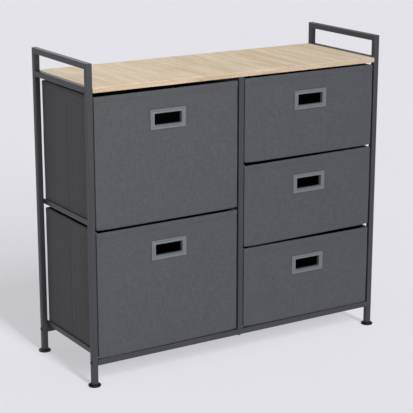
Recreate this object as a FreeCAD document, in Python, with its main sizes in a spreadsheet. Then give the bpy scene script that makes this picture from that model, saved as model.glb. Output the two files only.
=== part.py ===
"""Free-standing dresser: a square-tube steel frame, a wood-effect top board and five fabric drawers.

Millimetres. +Z is up, +X is to the right as seen from the front and the fronts face -Y. The origin is on
the floor, in the middle of the footprint.
"""
import FreeCAD, Part
import math
import os

import Sketcher

doc = FreeCAD.newDocument("FabricDrawerDresser")
Vector = FreeCAD.Vector

# --------------------------------------------------------------------------------------------------
# Driving dimensions
# --------------------------------------------------------------------------------------------------

DIMENSIONS = {
    # steel frame, over the posts
    "frame_width": 870,
    "frame_depth": 300,
    "frame_height": 810,
    "tube_side": 15,
    "tube_wall": 1.2,
    "tube_corner": 2,
    "leg_length": 48,
    "handle_gap": 42.5,
    # top board
    "board_thickness": 12,
    "board_lip": 1.5,
    "board_clearance": 0.5,
    "board_edge": 0.8,
    "tab_length": 40,
    "tab_width": 22,
    "tab_thickness": 1.5,
    "tab_inset": 90,
    # drawer runners, folded from sheet
    "runner_flange": 20,
    "runner_leg": 14,
    "runner_thickness": 1.5,
    "runner_bend": 2,
    "runner_setback": 2,
    "stop_clearance": 0.5,
    # fasteners and the plugs in the tube ends
    "plug_length": 20,
    "post_plate": 4,
    "thread_clearance": 0.1,
    "bolt_radius": 3,
    "bolt_grip": 14,
    "bolt_head_radius": 5.5,
    "bolt_head_height": 2.5,
    "screw_radius": 1.8,
    "screw_length": 10,
    "screw_head_radius": 4.5,
    "screw_head_height": 2,
    # levelling feet
    "foot_radius": 16,
    "foot_height": 6,
    "stud_length": 26,
    # drawers
    "front_clearance": 0.8,
    "front_drop": 4.5,
    "drawer_gap": 6,
    "left_head_gap": 12,
    "right_head_gap": 7.5,
    "drawer_side_clearance": 2.25,
    "drawer_front_recess": 2.5,
    "drawer_rear_clearance": 2.5,
    "cover_thickness": 1,
    "hem_thickness": 1,
    "lining_thickness": 0.8,
    "front_board_thickness": 3,
    "side_board_thickness": 2,
    "base_board_thickness": 3,
    "base_board_clearance": 1,
    "seam_allowance": 4,
    "fold_gap": 4,
    # finger pull
    "pull_drop": 70,
    "pull_width": 100,
    "pull_height": 50,
    "pull_thickness": 2,
    "pull_edge": 0.8,
    "slot_width": 77,
    "slot_height": 29,
    "slot_corner": 2,
    "collar_wall": 1.5,
    "cutout_clearance": 0.3,
    "catch_reach": 2.2,
    "catch_depth": 3,
    "catch_width": 9,
    "catch_offset": 24,
}

sizes = doc.addObject("Spreadsheet::Sheet", "Sizes")
for row, (alias, number) in enumerate(DIMENSIONS.items(), start=1):
    sizes.set(f"A{row}", alias)
    sizes.set(f"B{row}", str(number))
    sizes.setAlias(f"B{row}", alias)
doc.recompute()

# Places that several pieces share, each worked out from the driving dimensions.
PLACES = {
    # frame
    "post_x": "(Sizes.frame_width - Sizes.tube_side) / 2",
    "post_y": "(Sizes.frame_depth - Sizes.tube_side) / 2",
    "inner_x": "Sizes.frame_width / 2 - Sizes.tube_side",
    "inner_y": "Sizes.frame_depth / 2 - Sizes.tube_side",
    "half_tube": "Sizes.tube_side / 2",
    "tube_bore": "Sizes.tube_side - 2 * Sizes.tube_wall",
    "leg_bottom": "Sizes.foot_height",
    "rail_bottom": "leg_bottom + Sizes.leg_length",
    "rail_middle": "rail_bottom + half_tube",
    "rail_top": "rail_bottom + Sizes.tube_side",
    "board_rail_top": "Sizes.frame_height - Sizes.tube_side - Sizes.handle_gap",
    "board_top": "board_rail_top - Sizes.board_lip",
    "board_bottom": "board_top - Sizes.board_thickness",
    "bore_radius": "Sizes.bolt_radius + Sizes.thread_clearance",
    # board tabs, welded to the inner faces of the board rails
    "tab_x": "inner_x - Sizes.tab_width / 2",
    "tab_y": "inner_y - Sizes.tab_inset",
    # two columns: two tall drawers on the left, three low ones on the right
    "column_x": "(half_tube + inner_x) / 2",
    "bay_width": "inner_x - half_tube",
    "first_level": "rail_top + Sizes.front_clearance",
    "left_pitch": "(board_bottom - first_level + Sizes.drawer_gap - Sizes.left_head_gap) / 2",
    "right_pitch": "(board_bottom - first_level + Sizes.drawer_gap - Sizes.right_head_gap) / 3",
    "left_height": "left_pitch - Sizes.drawer_gap",
    "right_height": "right_pitch - Sizes.drawer_gap",
    # drawers
    "drawer_width": "bay_width - 2 * (Sizes.runner_thickness + Sizes.drawer_side_clearance)",
    "drawer_front_y": "Sizes.drawer_front_recess - Sizes.frame_depth / 2",
    "drawer_depth": "inner_y - Sizes.drawer_rear_clearance - drawer_front_y",
    "front_wall": "Sizes.cover_thickness + Sizes.front_board_thickness + Sizes.lining_thickness",
    "side_wall": "Sizes.cover_thickness + Sizes.side_board_thickness + Sizes.lining_thickness",
    "cavity_width": "drawer_width - 2 * Sizes.cover_thickness",
    "cavity_depth": "drawer_depth - 2 * Sizes.cover_thickness",
    "lined_width": "drawer_width - 2 * side_wall",
    "lined_depth": "drawer_depth - front_wall - side_wall",
    "lined_middle": "front_wall + lined_depth / 2",
    "front_board_width": "cavity_width - 2 * Sizes.seam_allowance",
    "lining_bottom": "Sizes.front_drop + Sizes.cover_thickness",
    "floor_top": "lining_bottom + Sizes.lining_thickness",
    # finger pull
    "collar_width": "Sizes.slot_width + 2 * Sizes.collar_wall",
    "collar_height": "Sizes.slot_height + 2 * Sizes.collar_wall",
    "cutout_width": "collar_width + 2 * Sizes.cutout_clearance",
    "cutout_height": "collar_height + 2 * Sizes.cutout_clearance",
    "catch_start": "front_wall + Sizes.cutout_clearance",
    "collar_length": "catch_start + Sizes.catch_depth",
}

layout = doc.addObject("Spreadsheet::Sheet", "Layout")
for row, (alias, formula) in enumerate(PLACES.items(), start=1):
    layout.set(f"A{row}", alias)
    layout.set(f"B{row}", "=" + formula)
    layout.setAlias(f"B{row}", alias)
    doc.recompute()

subparts = []


# --------------------------------------------------------------------------------------------------
# Bodies, sketches and the shapes drawn in them
# --------------------------------------------------------------------------------------------------

def value(formula):
    """The number that a formula gives at present, used to draw geometry near its solved place."""
    return float(layout.evalExpression(formula))


def place(piece, base):
    """Ties the piece's position to three formulas and leaves its rotation as it is."""
    for axis, formula in zip("xyz", base):
        piece.setExpression(f"Placement.Base.{axis}", formula)


def new_body(label, base=("0", "0", "0"), rotation=FreeCAD.Rotation()):
    body = doc.addObject("PartDesign::Body", label)
    body.Label = label
    body.Placement = FreeCAD.Placement(Vector(), rotation)
    place(body, base)
    subparts.append(body)
    return body


def origin_plane(body, role):
    return next(feature for feature in body.Origin.OriginFeatures if feature.Role == role)


def new_sketch(body, role, offset=("0", "0", "0")):
    """A sketch on one of the body's own planes; offset is along the sketch's x, y and normal."""
    sketch = body.newObject("Sketcher::SketchObject", "Sketch")
    sketch.AttachmentSupport = [(origin_plane(body, role), "")]
    sketch.MapMode = "FlatFace"
    for axis, formula in zip("xyz", offset):
        sketch.setExpression(f"AttachmentOffset.Base.{axis}", formula)
    return sketch


def dimension(sketch, kind, references, formula):
    """Adds one driving constraint and binds it to a formula."""
    constraint = sketch.addConstraint(Sketcher.Constraint(kind, *references, value(formula)))
    sketch.setExpression(f"Constraints[{constraint}]", formula)


def join(sketch, first, first_end, second, second_end):
    sketch.addConstraint(Sketcher.Constraint("Coincident", first, first_end, second, second_end))


def locate(sketch, geometry, point, x_formula, y_formula):
    """Holds one point of the geometry at a distance from the sketch's origin."""
    dimension(sketch, "DistanceX", (-1, 1, geometry, point), x_formula)
    dimension(sketch, "DistanceY", (-1, 1, geometry, point), y_formula)


def chain(sketch, corners):
    """Straight edges from corner to corner, each corner a pair of formulas."""
    points = [Vector(value(x), value(y), 0) for x, y in corners]
    edges = []
    for start, end in zip(points, points[1:]):
        edges.append(sketch.addGeometry(Part.LineSegment(start, end)))
    for edge, following in zip(edges, edges[1:]):
        join(sketch, edge, 2, following, 1)
    for edge, (x, y) in zip(edges, corners):
        locate(sketch, edge, 1, x, y)
    return edges


def outline(sketch, corners):
    """A closed outline of straight edges."""
    edges = chain(sketch, corners + corners[:1])
    join(sketch, edges[-1], 2, edges[0], 1)


def rectangle(sketch, width, height, centre=("0", "0")):
    corners = []
    for side_x, side_y in ((-1, -1), (1, -1), (1, 1), (-1, 1)):
        x = f"({centre[0]}) + {side_x} * ({width}) / 2"
        y = f"({centre[1]}) + {side_y} * ({height}) / 2"
        corners.append((x, y))
    outline(sketch, corners)


def circle(sketch, x, y, radius):
    centre = Vector(value(x), value(y), 0)
    ring = sketch.addGeometry(Part.Circle(centre, Vector(0, 0, 1), value(radius)))
    dimension(sketch, "Radius", (ring,), radius)
    locate(sketch, ring, 3, x, y)


def hexagon(sketch, x, y, reach):
    """A regular hexagon, its corners that far from its middle and two of them level with it."""
    corners = []
    for side_x, side_y in ((1, 0), (0.5, 1), (-0.5, 1), (-1, 0), (-0.5, -1), (0.5, -1)):
        corners.append((f"{x} + {side_x} * {reach}", f"{y} + {side_y} * {reach} * sqrt(3) / 2"))
    outline(sketch, corners)


def rounded_rectangle(sketch, width, height, radius):
    """A rectangle with four equal corner arcs, centred on the sketch's origin."""
    corner_radius = value(radius)
    reach_x = value(width) / 2 - corner_radius
    reach_y = value(height) / 2 - corner_radius
    arcs = []
    for number, (side_x, side_y) in enumerate([(1, 1), (-1, 1), (-1, -1), (1, -1)]):
        corner = Vector(side_x * reach_x, side_y * reach_y, 0)
        start = number * math.pi / 2
        ring = Part.Circle(corner, Vector(0, 0, 1), corner_radius)
        arcs.append(sketch.addGeometry(Part.ArcOfCircle(ring, start, start + math.pi / 2)))
    lines = []
    for arc, following in zip(arcs, arcs[1:] + arcs[:1]):
        start = sketch.getPoint(arc, 2)
        end = sketch.getPoint(following, 1)
        line = sketch.addGeometry(Part.LineSegment(start, end))
        sketch.addConstraint(Sketcher.Constraint("Tangent", arc, 2, line, 1))
        sketch.addConstraint(Sketcher.Constraint("Tangent", line, 2, following, 1))
        lines.append(line)
    top, left, bottom, right = lines
    for line in (top, bottom):
        sketch.addConstraint(Sketcher.Constraint("Horizontal", line))
    for line in (left, right):
        sketch.addConstraint(Sketcher.Constraint("Vertical", line))
    for arc in arcs[1:]:
        sketch.addConstraint(Sketcher.Constraint("Equal", arcs[0], arc))
    dimension(sketch, "Radius", (arcs[0],), radius)
    dimension(sketch, "DistanceX", (left, 1, right, 1), width)
    dimension(sketch, "DistanceY", (bottom, 1, top, 1), height)
    sketch.addConstraint(Sketcher.Constraint("Symmetric", arcs[0], 3, arcs[2], 3, -1, 1))


def pad(body, sketch, length, reverse=False, symmetric=False):
    feature = body.newObject("PartDesign::Pad", "Pad")
    feature.Profile = sketch
    feature.setExpression("Length", length)
    feature.Reversed = reverse
    feature.SideType = "Symmetric" if symmetric else "One side"
    body.Tip = feature
    return feature


def pocket(body, sketch, length, reverse=False, symmetric=False):
    """Cuts the sketch out of the body, against the sketch's normal unless reversed."""
    doc.recompute()
    before = body.Shape.Volume
    feature = body.newObject("PartDesign::Pocket", "Pocket")
    feature.Profile = sketch
    feature.setExpression("Length", length)
    feature.Reversed = reverse
    feature.SideType = "Symmetric" if symmetric else "One side"
    body.Tip = feature
    doc.recompute()
    if body.Shape.Volume >= before:
        raise RuntimeError(f"a pocket in {body.Label} cuts nothing")
    return feature


def chamfer(body, feature, axis, size, highest=True):
    """Takes the edges off the face of the feature that lies furthest along an axis of the body."""
    doc.recompute()
    choose = max if highest else min
    faces = feature.Shape.Faces
    face = choose(range(len(faces)), key=lambda number: getattr(faces[number].CenterOfMass, axis))
    bevel = body.newObject("PartDesign::Chamfer", "Chamfer")
    bevel.Base = (feature, [f"Face{face + 1}"])
    bevel.setExpression("Size", size)
    body.Tip = bevel
    doc.recompute()


def revolve(body, sketch, axis):
    """A full turn of the sketch about its own H_Axis or V_Axis."""
    feature = body.newObject("PartDesign::Revolution", "Revolution")
    feature.Profile = sketch
    feature.ReferenceAxis = (sketch, [axis])
    feature.Angle = 360
    body.Tip = feature
    return feature


def mirror(body, originals, role):
    feature = body.newObject("PartDesign::Mirrored", "Mirrored")
    feature.Originals = originals
    feature.MirrorPlane = (origin_plane(body, role), [""])
    body.Tip = feature
    return feature


# --------------------------------------------------------------------------------------------------
# Steel frame
# --------------------------------------------------------------------------------------------------

TO_X = FreeCAD.Rotation(Vector(0, 1, 0), 90)
TO_Y = FreeCAD.Rotation(Vector(1, 0, 0), -90)
HALF_TURN = FreeCAD.Rotation(Vector(0, 0, 1), 180)


def square_tube(label, length, base, rotation=FreeCAD.Rotation(), start="0"):
    """A length of square tube with rolled corners, along the body's own z."""
    body = new_body(label, base, rotation)
    section = new_sketch(body, "XY_Plane", ("0", "0", start))
    rounded_rectangle(section, "Sizes.tube_side", "Sizes.tube_side", "Sizes.tube_corner")
    rectangle(section, "Layout.tube_bore", "Layout.tube_bore")
    pad(body, section, length)
    return body


def mitre(body, height, inward, upward):
    """Cuts one end at 45 degrees; the corner taken off lies at the inward face (+1 or -1 in y)."""
    sketch = new_sketch(body, "YZ_Plane", (f"{inward} * Layout.half_tube", height, "0"))
    leg_y = f"{-inward} * Sizes.tube_side"
    leg_z = f"{-upward} * Sizes.tube_side"
    outline(sketch, [("0", "0"), (leg_y, "0"), ("0", leg_z)])
    pocket(body, sketch, "2 * Sizes.tube_side", symmetric=True)


def bolt_hole(body, height):
    """A hole along the body's own x through both walls of a tube."""
    sketch = new_sketch(body, "YZ_Plane")
    circle(sketch, "0", height, "Layout.bore_radius")
    pocket(body, sketch, "2 * Sizes.tube_side", symmetric=True)


def outer_post(side, end):
    """A full-height post: mitred at the top, drilled for the bolt into the bottom rail."""
    x_sign = {"left": "-1", "right": "1"}[side]
    y_sign = {"front": "-1", "rear": "1"}[end]
    turn = FreeCAD.Rotation() if end == "front" else HALF_TURN
    base = (f"{x_sign} * Layout.post_x", f"{y_sign} * Layout.post_y", "0")
    length = "Sizes.frame_height - Layout.leg_bottom"
    body = square_tube(f"{side}_{end}_post", length, base, turn, "Layout.leg_bottom")
    mitre(body, "Sizes.frame_height", inward=1, upward=1)
    bolt_hole(body, "Layout.rail_middle")


for side in ("left", "right"):
    for end in ("front", "rear"):
        outer_post(side, end)

# The bar that bridges each pair of posts, mitred into them to close the handle loop.
for side, sign in (("left", "-1"), ("right", "1")):
    base = (f"{sign} * Layout.post_x", "-Sizes.frame_depth / 2", "Sizes.frame_height - Layout.half_tube")
    bar = square_tube(f"{side}_handle_bar", "Sizes.frame_depth", base, TO_Y)
    mitre(bar, "0", inward=1, upward=-1)
    mitre(bar, "Sizes.frame_depth", inward=1, upward=1)

# The side rail beside the board, its top a lip above the board.
for side, sign in (("left", "-1"), ("right", "1")):
    base = (f"{sign} * Layout.post_x", "-Layout.inner_y", "Layout.board_rail_top - Layout.half_tube")
    square_tube(f"{side}_board_rail", "2 * Layout.inner_y", base, TO_Y)

# Rails across the width, bolted end-on between the posts and drilled for the centre post's bolt.
for end, sign in (("front", "-1"), ("rear", "1")):
    base = ("-Layout.inner_x", f"{sign} * Layout.post_y", "Layout.rail_middle")
    rail = square_tube(f"bottom_{end}_rail", "2 * Layout.inner_x", base, TO_X)
    bolt_hole(rail, "Layout.inner_x")

# Posts between the two columns, and the rail that joins their heads under the board.
for end, sign in (("front", "-1"), ("rear", "1")):
    base = ("0", f"{sign} * Layout.post_y", "Layout.rail_top")
    square_tube(f"centre_{end}_post", "Layout.board_bottom - Layout.rail_top", base)
top_rail_base = ("0", "-Layout.inner_y", "Layout.board_bottom - Layout.half_tube")
square_tube("centre_top_rail", "2 * Layout.inner_y", top_rail_base, TO_Y)


# --------------------------------------------------------------------------------------------------
# Drawer runners: folded angle, leg welded to the posts, flange under the drawer
# --------------------------------------------------------------------------------------------------

DRAWER_NAMES = {
    "left": ["left_lower", "left_upper"],
    "right": ["right_lower", "right_middle", "right_upper"],
}


def drawer_levels(side):
    """Heights of the lower edges of the fronts in one column, from the bottom up."""
    count = len(DRAWER_NAMES[side])
    return [f"(Layout.first_level + {number} * Layout.{side}_pitch)" for number in range(count)]


def runner_section(sketch, inward):
    """An angle, rounded outside its bend at the sketch's origin; inward is +1 or -1 along x."""
    bend = "Sizes.runner_bend"
    thickness = "Sizes.runner_thickness"
    corners = [
        (f"{inward} * {bend}", "0"),
        (f"{inward} * Sizes.runner_flange", "0"),
        (f"{inward} * Sizes.runner_flange", thickness),
        (f"{inward} * {thickness}", thickness),
        (f"{inward} * {thickness}", "Sizes.runner_leg"),
        ("0", "Sizes.runner_leg"),
        ("0", bend),
    ]
    edges = chain(sketch, corners)
    locate(sketch, edges[-1], 2, *corners[-1])
    centre = Vector(inward * value(bend), value(bend), 0)
    ring = Part.Circle(centre, Vector(0, 0, 1), value(bend))
    start = math.pi if inward > 0 else 1.5 * math.pi
    arc = sketch.addGeometry(Part.ArcOfCircle(ring, start, start + math.pi / 2))
    leg_end, flange_end = (1, 2) if inward > 0 else (2, 1)
    join(sketch, arc, leg_end, edges[-1], 2)
    join(sketch, arc, flange_end, edges[0], 1)
    dimension(sketch, "Radius", (arc,), bend)


def runner_pair(label, side, level):
    """The outer and the centre runner of one drawer; the drawer's front stops against their ends."""
    sign = {"left": -1, "right": 1}[side]
    body = new_body(label, ("0", "0", f"{level} + Sizes.front_drop - Sizes.runner_thickness"))
    front = "(Layout.drawer_front_y + Layout.front_wall + Sizes.stop_clearance)"
    length = f"Sizes.frame_depth / 2 - Sizes.runner_setback - {front}"
    for face, inward in ((f"{sign} * Layout.inner_x", -sign), (f"{sign} * Layout.half_tube", sign)):
        section = new_sketch(body, "XZ_Plane", (face, "0", f"-{front}"))
        runner_section(section, inward)
        pad(body, section, length, reverse=True)


for side, names in DRAWER_NAMES.items():
    for name, level in zip(names, drawer_levels(side)):
        runner_pair(f"{name}_runners", side, level)


# --------------------------------------------------------------------------------------------------
# Plugs and bolts of the frame
# --------------------------------------------------------------------------------------------------

def plug_section(sketch, centre):
    """A square that fills the tube, with a bore whose six flats stand a bore radius from its axis."""
    rectangle(sketch, "Layout.tube_bore", "Layout.tube_bore", centre)
    hexagon(sketch, *centre, "(2 * Layout.bore_radius / sqrt(3))")


def tube_plugs():
    """Square plugs in the feet of the posts and in the ends of the rails.

    The thread of a bolt or stud grips the six flats of the bore. The feet of the centre posts
    take a thin plate of the same section.
    """
    body = new_body("tube_plugs")
    legs = new_sketch(body, "XY_Plane", ("0", "0", "Layout.leg_bottom"))
    for x_sign in ("-1", "1"):
        for y_sign in ("-1", "1"):
            plug_section(legs, (f"{x_sign} * Layout.post_x", f"{y_sign} * Layout.post_y"))
    pad(body, legs, "Sizes.plug_length")
    centre_feet = new_sketch(body, "XY_Plane", ("0", "0", "Layout.rail_top"))
    for y_sign in ("-1", "1"):
        plug_section(centre_feet, ("0", f"{y_sign} * Layout.post_y"))
    pad(body, centre_feet, "Sizes.post_plate")
    for x_sign in (-1, 1):
        ends = new_sketch(body, "YZ_Plane", ("0", "0", f"{x_sign} * Layout.inner_x"))
        for y_sign in ("-1", "1"):
            plug_section(ends, (f"{y_sign} * Layout.post_y", "Layout.rail_middle"))
        pad(body, ends, "Sizes.plug_length", reverse=x_sign > 0)


BOLT_LENGTH = "(Sizes.tube_side + Sizes.bolt_grip)"


def rail_bolts():
    """Bolts through the posts into the plugs of the rails, round heads on the outer faces."""
    body = new_body("rail_bolts")
    for y_sign in ("-1", "1"):
        sketch = new_sketch(body, "XZ_Plane", ("0", "Layout.rail_middle", f"{y_sign} * -Layout.post_y"))
        for way in (1, -1):
            head_face = f"{-way} * Sizes.frame_width / 2"
            outer = f"{head_face} - {way} * Sizes.bolt_head_height"
            tip = f"{head_face} + {way} * {BOLT_LENGTH}"
            outline(sketch, [
                (outer, "0"),
                (outer, "Sizes.bolt_head_radius"),
                (head_face, "Sizes.bolt_head_radius"),
                (head_face, "Sizes.bolt_radius"),
                (tip, "Sizes.bolt_radius"),
                (tip, "0"),
            ])
        revolve(body, sketch, "H_Axis")


def hexagon_bolts(label, level, kind, places, length):
    """Bolts or screws that point up: hexagon heads below that level and round shanks above it."""
    body = new_body(label, ("0", "0", level))
    heads = new_sketch(body, "XY_Plane")
    shanks = new_sketch(body, "XY_Plane")
    for x, y in places:
        hexagon(heads, x, y, f"Sizes.{kind}_head_radius")
        circle(shanks, x, y, f"Sizes.{kind}_radius")
    pad(body, heads, f"Sizes.{kind}_head_height", reverse=True)
    pad(body, shanks, length)


def centre_post_bolts():
    """Bolts up through the bottom rails into the plates in the feet of the centre posts."""
    places = [("0", f"{y_sign} * Layout.post_y") for y_sign in ("-1", "1")]
    hexagon_bolts("centre_post_bolts", "Layout.rail_bottom", "bolt", places, BOLT_LENGTH)


tube_plugs()
rail_bolts()
centre_post_bolts()


# --------------------------------------------------------------------------------------------------
# Top board with its tabs and screws
# --------------------------------------------------------------------------------------------------

def top_board():
    """A flat board between the board rails, resting on the tabs and the upper rail."""
    body = new_body("top_board", ("0", "0", "Layout.board_bottom"))
    sketch = new_sketch(body, "XY_Plane")
    rectangle(sketch, "2 * (Layout.inner_x - Sizes.board_clearance)", "Sizes.frame_depth")
    pad(body, sketch, "Sizes.board_thickness")
    pilot = new_sketch(body, "XY_Plane")
    for x_sign in ("-1", "1"):
        for y_sign in ("-1", "1"):
            circle(pilot, f"{x_sign} * Layout.tab_x", f"{y_sign} * Layout.tab_y", "Sizes.screw_radius")
    drilled = pocket(body, pilot, "Sizes.screw_length - Sizes.tab_thickness", reverse=True)
    chamfer(body, drilled, "z", "Sizes.board_edge")


def board_tabs():
    """Flat tabs welded inside the board rails, just under the board."""
    body = new_body("board_tabs", ("0", "0", "Layout.board_bottom - Sizes.tab_thickness"))
    sketch = new_sketch(body, "XY_Plane")
    for x_sign in ("-1", "1"):
        for y_sign in ("-1", "1"):
            centre = (f"{x_sign} * Layout.tab_x", f"{y_sign} * Layout.tab_y")
            rectangle(sketch, "Sizes.tab_width", "Sizes.tab_length", centre)
            circle(sketch, *centre, "Sizes.screw_radius")
    pad(body, sketch, "Sizes.tab_thickness")


def board_screws():
    """Screws up through the tabs into the board."""
    places = [(f"{x_sign} * Layout.tab_x", f"{y_sign} * Layout.tab_y")
              for x_sign in ("-1", "1") for y_sign in ("-1", "1")]
    level = "Layout.board_bottom - Sizes.tab_thickness"
    hexagon_bolts("board_screws", level, "screw", places, "Sizes.screw_length")


top_board()
board_tabs()
board_screws()


# --------------------------------------------------------------------------------------------------
# Levelling feet: a round base moulded on a stud that screws into the leg plug
# --------------------------------------------------------------------------------------------------

def levelling_foot(label, x_sign, y_sign):
    body = new_body(label, (f"{x_sign} * Layout.post_x", f"{y_sign} * Layout.post_y", "0"))
    sketch = new_sketch(body, "XZ_Plane")
    tip = "Sizes.foot_height + Sizes.stud_length"
    outline(sketch, [
        ("0", "0"),
        ("Sizes.foot_radius", "0"),
        ("Sizes.foot_radius", "Sizes.foot_height"),
        ("Sizes.bolt_radius", "Sizes.foot_height"),
        ("Sizes.bolt_radius", tip),
        ("0", tip),
    ])
    revolve(body, sketch, "V_Axis")


for side, x_sign in (("left", "-1"), ("right", "1")):
    for end, y_sign in (("front", "-1"), ("rear", "1")):
        levelling_foot(f"{side}_{end}_foot", x_sign, y_sign)


# --------------------------------------------------------------------------------------------------
# Fabric drawers, each with its own origin at the middle of the lower edge of its front
# --------------------------------------------------------------------------------------------------

def finger_cutout(body, height, start, thickness):
    """The opening for the finger pull through one layer of the front."""
    sketch = new_sketch(body, "XZ_Plane", ("0", f"{height} - Sizes.pull_drop", f"-({start})"))
    rectangle(sketch, "Layout.cutout_width", "Layout.cutout_height")
    pocket(body, sketch, thickness)


def cover(label, base, height):
    """Outer fabric: a box with its top edge turned in and its front hanging below its floor."""
    body = new_body(label, base)
    hanging = new_sketch(body, "XY_Plane", ("0", "Layout.front_wall / 2", "0"))
    rectangle(hanging, "Layout.drawer_width", "Layout.front_wall")
    pad(body, hanging, "Sizes.front_drop")
    box = new_sketch(body, "XY_Plane", ("0", "Layout.drawer_depth / 2", "Sizes.front_drop"))
    rectangle(box, "Layout.drawer_width", "Layout.drawer_depth")
    pad(body, box, f"{height} - Sizes.front_drop")
    mouth = new_sketch(body, "XY_Plane", ("0", "Layout.lined_middle", height))
    rectangle(mouth, "Layout.lined_width", "Layout.lined_depth")
    pocket(body, mouth, "Sizes.hem_thickness")
    cavity_top = f"{height} - Sizes.hem_thickness"
    cavity = new_sketch(body, "XY_Plane", ("0", "Layout.drawer_depth / 2", cavity_top))
    rectangle(cavity, "Layout.cavity_width", "Layout.cavity_depth")
    pocket(body, cavity, f"{cavity_top} - Layout.lining_bottom")
    # sleeve for the front board, down into the hanging edge
    sleeve_y = "Sizes.cover_thickness + Sizes.front_board_thickness / 2"
    sleeve = new_sketch(body, "XY_Plane", ("0", sleeve_y, "Layout.lining_bottom"))
    rectangle(sleeve, "Layout.front_board_width", "Sizes.front_board_thickness")
    pocket(body, sleeve, "Sizes.front_drop")
    finger_cutout(body, height, "0", "Sizes.cover_thickness")


def lining(label, base, height):
    """Inner fabric, sewn to the cover under the hem."""
    body = new_body(label, base)
    thickness = "Sizes.lining_thickness"
    depth = f"{height} - Sizes.hem_thickness - Layout.lining_bottom"
    outside = new_sketch(body, "XY_Plane", ("0", "Layout.lined_middle", "Layout.lining_bottom"))
    rectangle(outside, f"Layout.lined_width + 2 * {thickness}", f"Layout.lined_depth + 2 * {thickness}")
    pad(body, outside, depth)
    inside = new_sketch(body, "XY_Plane", ("0", "Layout.lined_middle", f"{height} - Sizes.hem_thickness"))
    rectangle(inside, "Layout.lined_width", "Layout.lined_depth")
    pocket(body, inside, f"{depth} - {thickness}")
    finger_cutout(body, height, f"Layout.front_wall - {thickness}", thickness)


def front_board(label, base, height):
    """Stiff board behind the front fabric, with the cut-out for the finger pull."""
    body = new_body(label, base)
    thickness = "Sizes.front_board_thickness"
    low = "Sizes.cover_thickness"
    high = f"({height} - Sizes.hem_thickness)"
    sketch = new_sketch(body, "XZ_Plane", ("0", "0", "-Sizes.cover_thickness"))
    rectangle(sketch, "Layout.front_board_width", f"{high} - {low}", ("0", f"({low} + {high}) / 2"))
    pad(body, sketch, thickness, reverse=True)
    finger_cutout(body, height, "Sizes.cover_thickness", thickness)


def wall_boards(label, base, height):
    """Stiffeners of the other walls: each side in two halves that fold, and one in the back."""
    body = new_body(label, base)
    sketch = new_sketch(body, "XY_Plane", ("0", "0", "Layout.lining_bottom"))
    outer_x = "(Layout.cavity_width / 2)"
    inner_x = f"({outer_x} - Sizes.side_board_thickness)"
    front_y = "Layout.front_wall + Sizes.seam_allowance"
    back_y = "Layout.drawer_depth - Layout.side_wall - Sizes.seam_allowance"
    halves = [
        (front_y, "Layout.lined_middle - Sizes.fold_gap / 2"),
        ("Layout.lined_middle + Sizes.fold_gap / 2", back_y),
    ]
    for sign in (-1, 1):
        for low, high in halves:
            outline(sketch, [(f"{sign} * {outer_x}", low), (f"{sign} * {inner_x}", low),
                             (f"{sign} * {inner_x}", high), (f"{sign} * {outer_x}", high)])
    back_half = "(Layout.lined_width / 2 - Sizes.seam_allowance)"
    back_outer = "Layout.drawer_depth - Sizes.cover_thickness"
    back_inner = f"{back_outer} - Sizes.side_board_thickness"
    outline(sketch, [(f"-{back_half}", back_inner), (back_half, back_inner),
                     (back_half, back_outer), (f"-{back_half}", back_outer)])
    pad(body, sketch, f"{height} - Sizes.hem_thickness - Layout.lining_bottom")


def base_board(label, base):
    """Loose board that lies on the lining and squares the drawer up."""
    body = new_body(label, base)
    sketch = new_sketch(body, "XY_Plane", ("0", "Layout.lined_middle", "Layout.floor_top"))
    rectangle(sketch, "Layout.lined_width - 2 * Sizes.base_board_clearance",
              "Layout.lined_depth - 2 * Sizes.base_board_clearance")
    pad(body, sketch, "Sizes.base_board_thickness")


def finger_pull(label, base):
    """Moulded pull: flange on the fabric, collar through the three layers, catches behind them."""
    body = new_body(label, base)
    flange = new_sketch(body, "XZ_Plane")
    rectangle(flange, "Sizes.pull_width", "Sizes.pull_height")
    plate = pad(body, flange, "Sizes.pull_thickness")
    chamfer(body, plate, "y", "Sizes.pull_edge", highest=False)
    collar = new_sketch(body, "XZ_Plane")
    rectangle(collar, "Layout.collar_width", "Layout.collar_height")
    pad(body, collar, "Layout.collar_length", reverse=True)
    slot = new_sketch(body, "XZ_Plane", ("0", "0", "Sizes.pull_thickness"))
    rounded_rectangle(slot, "Sizes.slot_width", "Sizes.slot_height", "Sizes.slot_corner")
    pocket(body, slot, "Sizes.pull_thickness + Layout.collar_length")
    catches = new_sketch(body, "YZ_Plane", ("0", "0", "Sizes.catch_offset"))
    root = "(Layout.collar_height / 2 - Sizes.collar_wall / 2)"
    skin = "(Layout.collar_height / 2)"
    nose = f"({skin} + Sizes.catch_reach)"
    for sign in (-1, 1):
        outline(catches, [
            ("Layout.catch_start", f"{sign} * {root}"),
            ("Layout.catch_start", f"{sign} * {nose}"),
            ("Layout.collar_length", f"{sign} * {skin}"),
            ("Layout.collar_length", f"{sign} * {root}"),
        ])
    wedge = pad(body, catches, "Sizes.catch_width", symmetric=True)
    mirror(body, [wedge], "YZ_Plane")


for side, names in DRAWER_NAMES.items():
    x = f"{ {'left': -1, 'right': 1}[side] } * Layout.column_x"
    height = f"Layout.{side}_height"
    for name, level in zip(names, drawer_levels(side)):
        base = (x, "Layout.drawer_front_y", level)
        cover(f"{name}_cover", base, height)
        lining(f"{name}_lining", base, height)
        front_board(f"{name}_front_board", base, height)
        wall_boards(f"{name}_wall_boards", base, height)
        base_board(f"{name}_base_board", base)
        finger_pull(f"{name}_finger_pull", (x, base[1], f"{level} + {height} - Sizes.pull_drop"))


# --------------------------------------------------------------------------------------------------
# Check and write
# --------------------------------------------------------------------------------------------------

doc.recompute()
for item in doc.Objects:
    if "Invalid" in item.State or "Error" in item.State:
        raise RuntimeError(f"{item.Name} ({item.TypeId}) failed: {item.State}")
for body in subparts:
    if body.Shape.isNull() or not body.Shape.isValid():
        raise RuntimeError(f"{body.Label} has no valid shape")

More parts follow.
